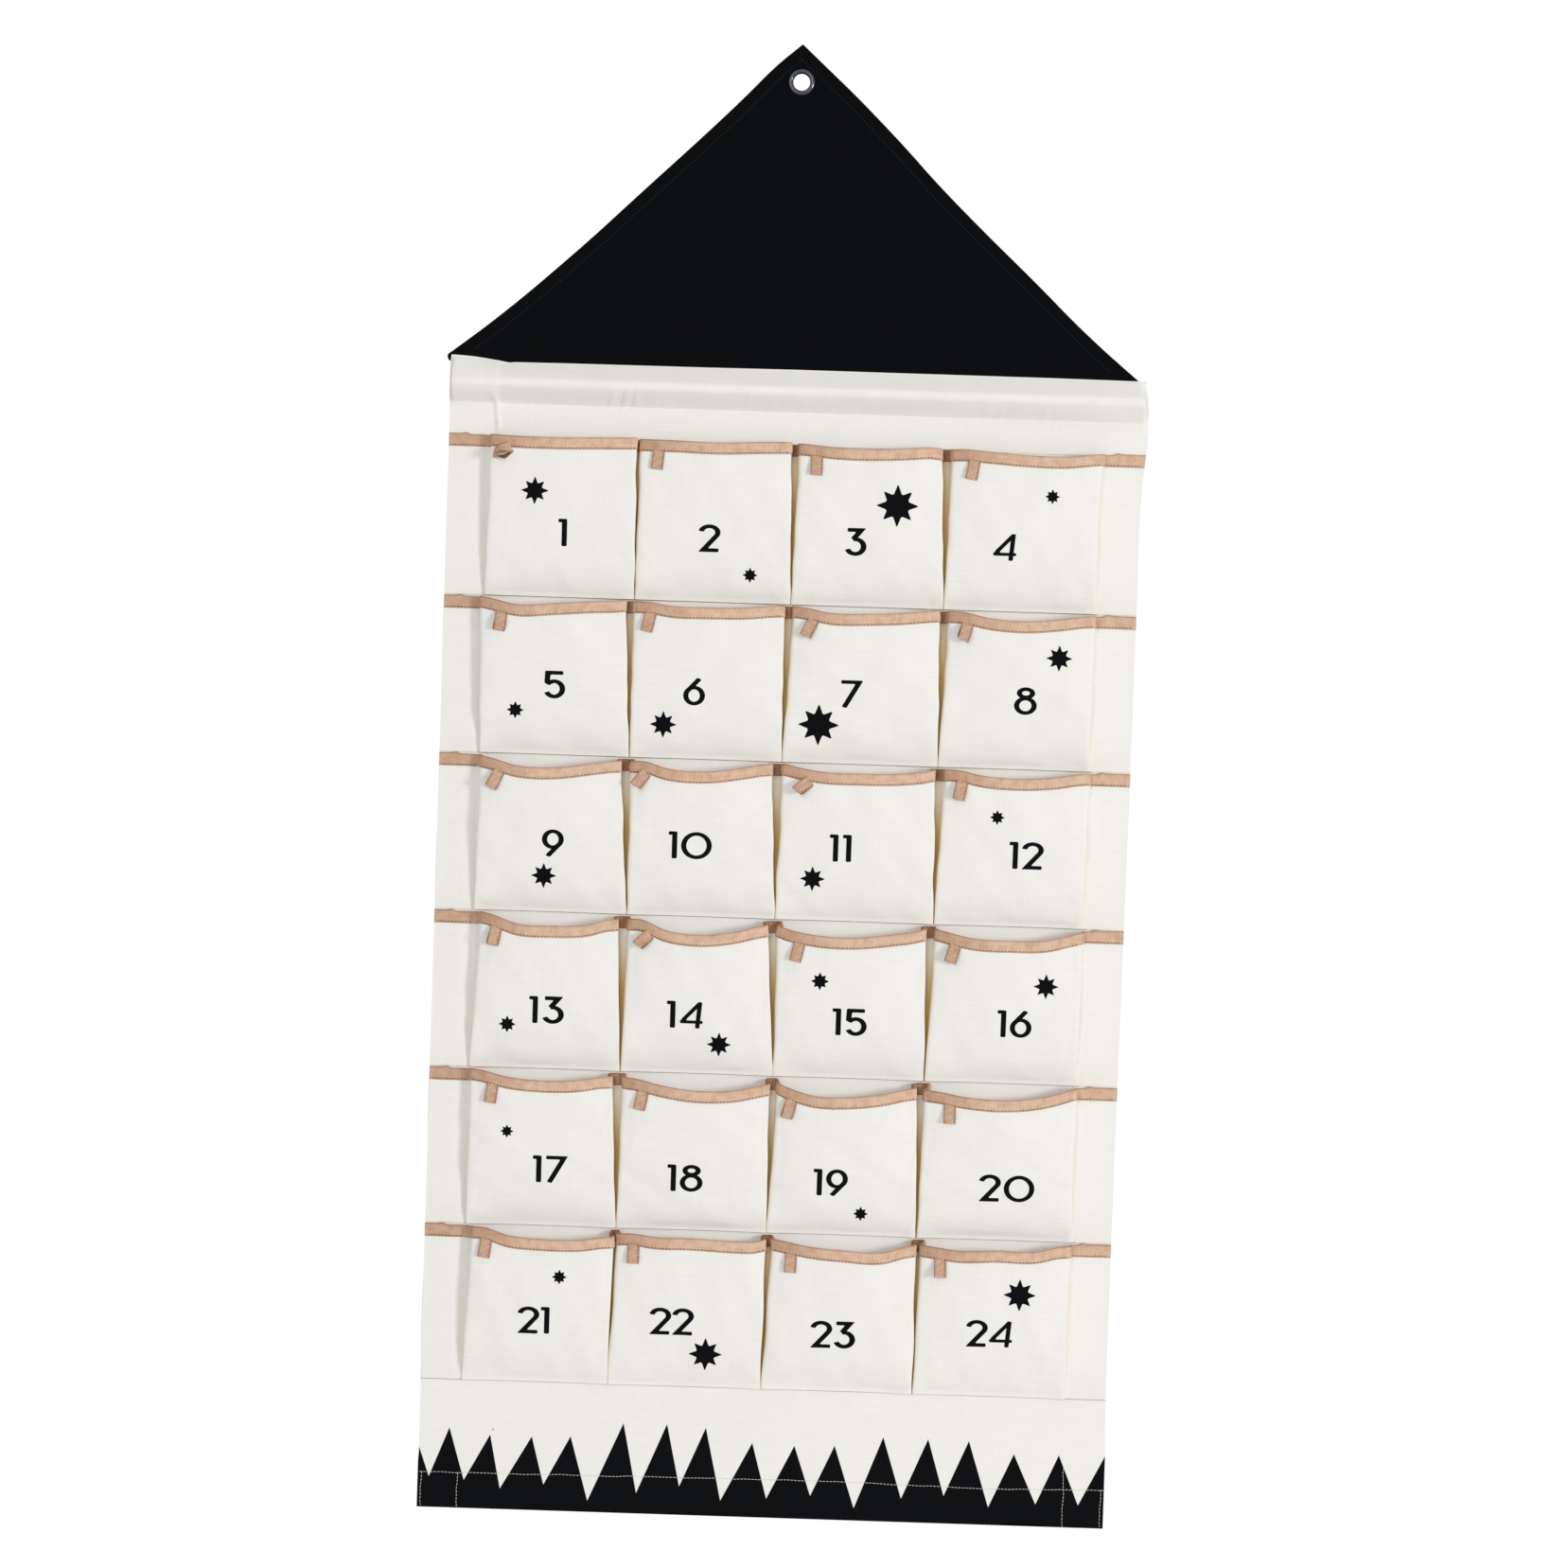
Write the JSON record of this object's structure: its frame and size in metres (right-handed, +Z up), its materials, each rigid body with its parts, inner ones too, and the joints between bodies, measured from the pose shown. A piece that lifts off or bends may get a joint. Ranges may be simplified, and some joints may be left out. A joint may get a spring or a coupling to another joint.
{
  "type": "pocket advent calendar",
  "caption": "Hanging canvas advent calendar: rows of pleated, numbered pockets bound in tape on a back panel, with tape loops, a rod and a black gable with an eyelet.",
  "frame": {"origin": "centre of the eyelet, on the plane of the wall behind the calendar", "axes": "+Z up along the hanging cloth, +Y into the wall, +X to the right as seen from the front"},
  "size_m": [0.6, 0.021, 1.274],
  "materials": {
    "natural_canvas": "woven, unbleached",
    "black_canvas": "woven, dyed black",
    "cotton_tape": "twill tape, camel",
    "nickel": "dark nickel plate",
    "birch": "bare dowel"
  },
  "bodies": {
    "gable": {"gable": "black_canvas", "eyelet_ring": "nickel", "eyelet_washer": "nickel"},
    "panel": {"back_panel": "natural_canvas", "rod_sleeve": "natural_canvas", "pocket_strip_row_1": "natural_canvas", "pocket_strip_row_2": "natural_canvas", "pocket_strip_row_3": "natural_canvas", "pocket_strip_row_4": "natural_canvas", "pocket_strip_row_5": "natural_canvas", "pocket_strip_row_6": "natural_canvas", "binding_row_1": "cotton_tape", "binding_row_2": "cotton_tape", "binding_row_3": "cotton_tape", "binding_row_4": "cotton_tape", "binding_row_5": "cotton_tape", "binding_row_6": "cotton_tape"},
    "rod": {"rod": "birch"},
    "loop_01": {"loop_01": "cotton_tape"},
    "loop_02": {"loop_02": "cotton_tape"},
    "loop_03": {"loop_03": "cotton_tape"},
    "loop_04": {"loop_04": "cotton_tape"},
    "loop_05": {"loop_05": "cotton_tape"},
    "loop_06": {"loop_06": "cotton_tape"},
    "loop_07": {"loop_07": "cotton_tape"},
    "loop_08": {"loop_08": "cotton_tape"},
    "loop_09": {"loop_09": "cotton_tape"},
    "loop_10": {"loop_10": "cotton_tape"},
    "loop_11": {"loop_11": "cotton_tape"},
    "loop_12": {"loop_12": "cotton_tape"},
    "loop_13": {"loop_13": "cotton_tape"},
    "loop_14": {"loop_14": "cotton_tape"},
    "loop_15": {"loop_15": "cotton_tape"},
    "loop_16": {"loop_16": "cotton_tape"},
    "loop_17": {"loop_17": "cotton_tape"},
    "loop_18": {"loop_18": "cotton_tape"},
    "loop_19": {"loop_19": "cotton_tape"},
    "loop_20": {"loop_20": "cotton_tape"},
    "loop_21": {"loop_21": "cotton_tape"},
    "loop_22": {"loop_22": "cotton_tape"},
    "loop_23": {"loop_23": "cotton_tape"},
    "loop_24": {"loop_24": "cotton_tape"}
  },
  "joints": [
    {"name": "panel_fold", "type": "hinge", "parent": "gable", "child": "panel", "pos_m": [0.0044, -0.0028, -0.2474], "axis": [-1, 0, 0], "range_deg": [0, 135]},
    {"name": "rod_slide", "type": "slide", "parent": "panel", "child": "rod", "axis": [1, 0, 0], "range_m": [-0.034, 0]},
    {"name": "loop_01_flap", "type": "hinge", "parent": "panel", "child": "loop_01", "pos_m": [-0.24046, -0.01884, -0.3237], "axis": [-1, 0, 0], "range_deg": [0, 160]},
    {"name": "loop_02_flap", "type": "hinge", "parent": "panel", "child": "loop_02", "pos_m": [-0.11229, -0.01837, -0.32366], "axis": [-1, 0, 0], "range_deg": [0, 160]},
    {"name": "loop_03_flap", "type": "hinge", "parent": "panel", "child": "loop_03", "pos_m": [0.02367, -0.01886, -0.32403], "axis": [-1, 0, 0], "range_deg": [0, 160]},
    {"name": "loop_04_flap", "type": "hinge", "parent": "panel", "child": "loop_04", "pos_m": [0.1591, -0.01927, -0.32414], "axis": [-1, 0, 0], "range_deg": [0, 160]},
    {"name": "loop_05_flap", "type": "hinge", "parent": "panel", "child": "loop_05", "pos_m": [-0.2431, -0.01852, -0.46539], "axis": [-1, 0, 0], "range_deg": [0, 160]},
    {"name": "loop_06_flap", "type": "hinge", "parent": "panel", "child": "loop_06", "pos_m": [-0.11493, -0.01805, -0.46377], "axis": [-1, 0, 0], "range_deg": [0, 160]},
    {"name": "loop_07_flap", "type": "hinge", "parent": "panel", "child": "loop_07", "pos_m": [0.02499, -0.01902, -0.46516], "axis": [-1, 0, 0], "range_deg": [0, 160]},
    {"name": "loop_08_flap", "type": "hinge", "parent": "panel", "child": "loop_08", "pos_m": [0.15778, -0.01911, -0.46534], "axis": [-1, 0, 0], "range_deg": [0, 160]},
    {"name": "loop_09_flap", "type": "hinge", "parent": "panel", "child": "loop_09", "pos_m": [-0.24112, -0.01876, -0.6023], "axis": [-1, 0, 0], "range_deg": [0, 160]},
    {"name": "loop_10_flap", "type": "hinge", "parent": "panel", "child": "loop_10", "pos_m": [-0.11493, -0.01805, -0.60124], "axis": [-1, 0, 0], "range_deg": [0, 160]},
    {"name": "loop_11_flap", "type": "hinge", "parent": "panel", "child": "loop_11", "pos_m": [0.02631, -0.01918, -0.60166], "axis": [-1, 0, 0], "range_deg": [0, 160]},
    {"name": "loop_12_flap", "type": "hinge", "parent": "panel", "child": "loop_12", "pos_m": [0.15778, -0.01911, -0.60126], "axis": [-1, 0, 0], "range_deg": [0, 160]},
    {"name": "loop_13_flap", "type": "hinge", "parent": "panel", "child": "loop_13", "pos_m": [-0.23914, -0.019, -0.73878], "axis": [-1, 0, 0], "range_deg": [0, 160]},
    {"name": "loop_14_flap", "type": "hinge", "parent": "panel", "child": "loop_14", "pos_m": [-0.10701, -0.01902, -0.74081], "axis": [-1, 0, 0], "range_deg": [0, 160]},
    {"name": "loop_15_flap", "type": "hinge", "parent": "panel", "child": "loop_15", "pos_m": [0.02235, -0.0187, -0.74024], "axis": [-1, 0, 0], "range_deg": [0, 160]},
    {"name": "loop_16_flap", "type": "hinge", "parent": "panel", "child": "loop_16", "pos_m": [0.15646, -0.01895, -0.7387], "axis": [-1, 0, 0], "range_deg": [0, 160]},
    {"name": "loop_17_flap", "type": "hinge", "parent": "panel", "child": "loop_17", "pos_m": [-0.23808, -0.01913, -0.87421], "axis": [-1, 0, 0], "range_deg": [0, 160]},
    {"name": "loop_18_flap", "type": "hinge", "parent": "panel", "child": "loop_18", "pos_m": [-0.10833, -0.01886, -0.87474], "axis": [-1, 0, 0], "range_deg": [0, 160]},
    {"name": "loop_19_flap", "type": "hinge", "parent": "panel", "child": "loop_19", "pos_m": [0.01971, -0.01837, -0.87656], "axis": [-1, 0, 0], "range_deg": [0, 160]},
    {"name": "loop_20_flap", "type": "hinge", "parent": "panel", "child": "loop_20", "pos_m": [0.15646, -0.01895, -0.87557], "axis": [-1, 0, 0], "range_deg": [0, 160]},
    {"name": "loop_21_flap", "type": "hinge", "parent": "panel", "child": "loop_21", "pos_m": [-0.23954, -0.01895, -1.00892], "axis": [-1, 0, 0], "range_deg": [0, 160]},
    {"name": "loop_22_flap", "type": "hinge", "parent": "panel", "child": "loop_22", "pos_m": [-0.11229, -0.01837, -1.00758], "axis": [-1, 0, 0], "range_deg": [0, 160]},
    {"name": "loop_23_flap", "type": "hinge", "parent": "panel", "child": "loop_23", "pos_m": [0.02367, -0.01886, -1.01066], "axis": [-1, 0, 0], "range_deg": [0, 160]},
    {"name": "loop_24_flap", "type": "hinge", "parent": "panel", "child": "loop_24", "pos_m": [0.1525, -0.01847, -1.00974], "axis": [-1, 0, 0], "range_deg": [0, 160]}
  ]
}
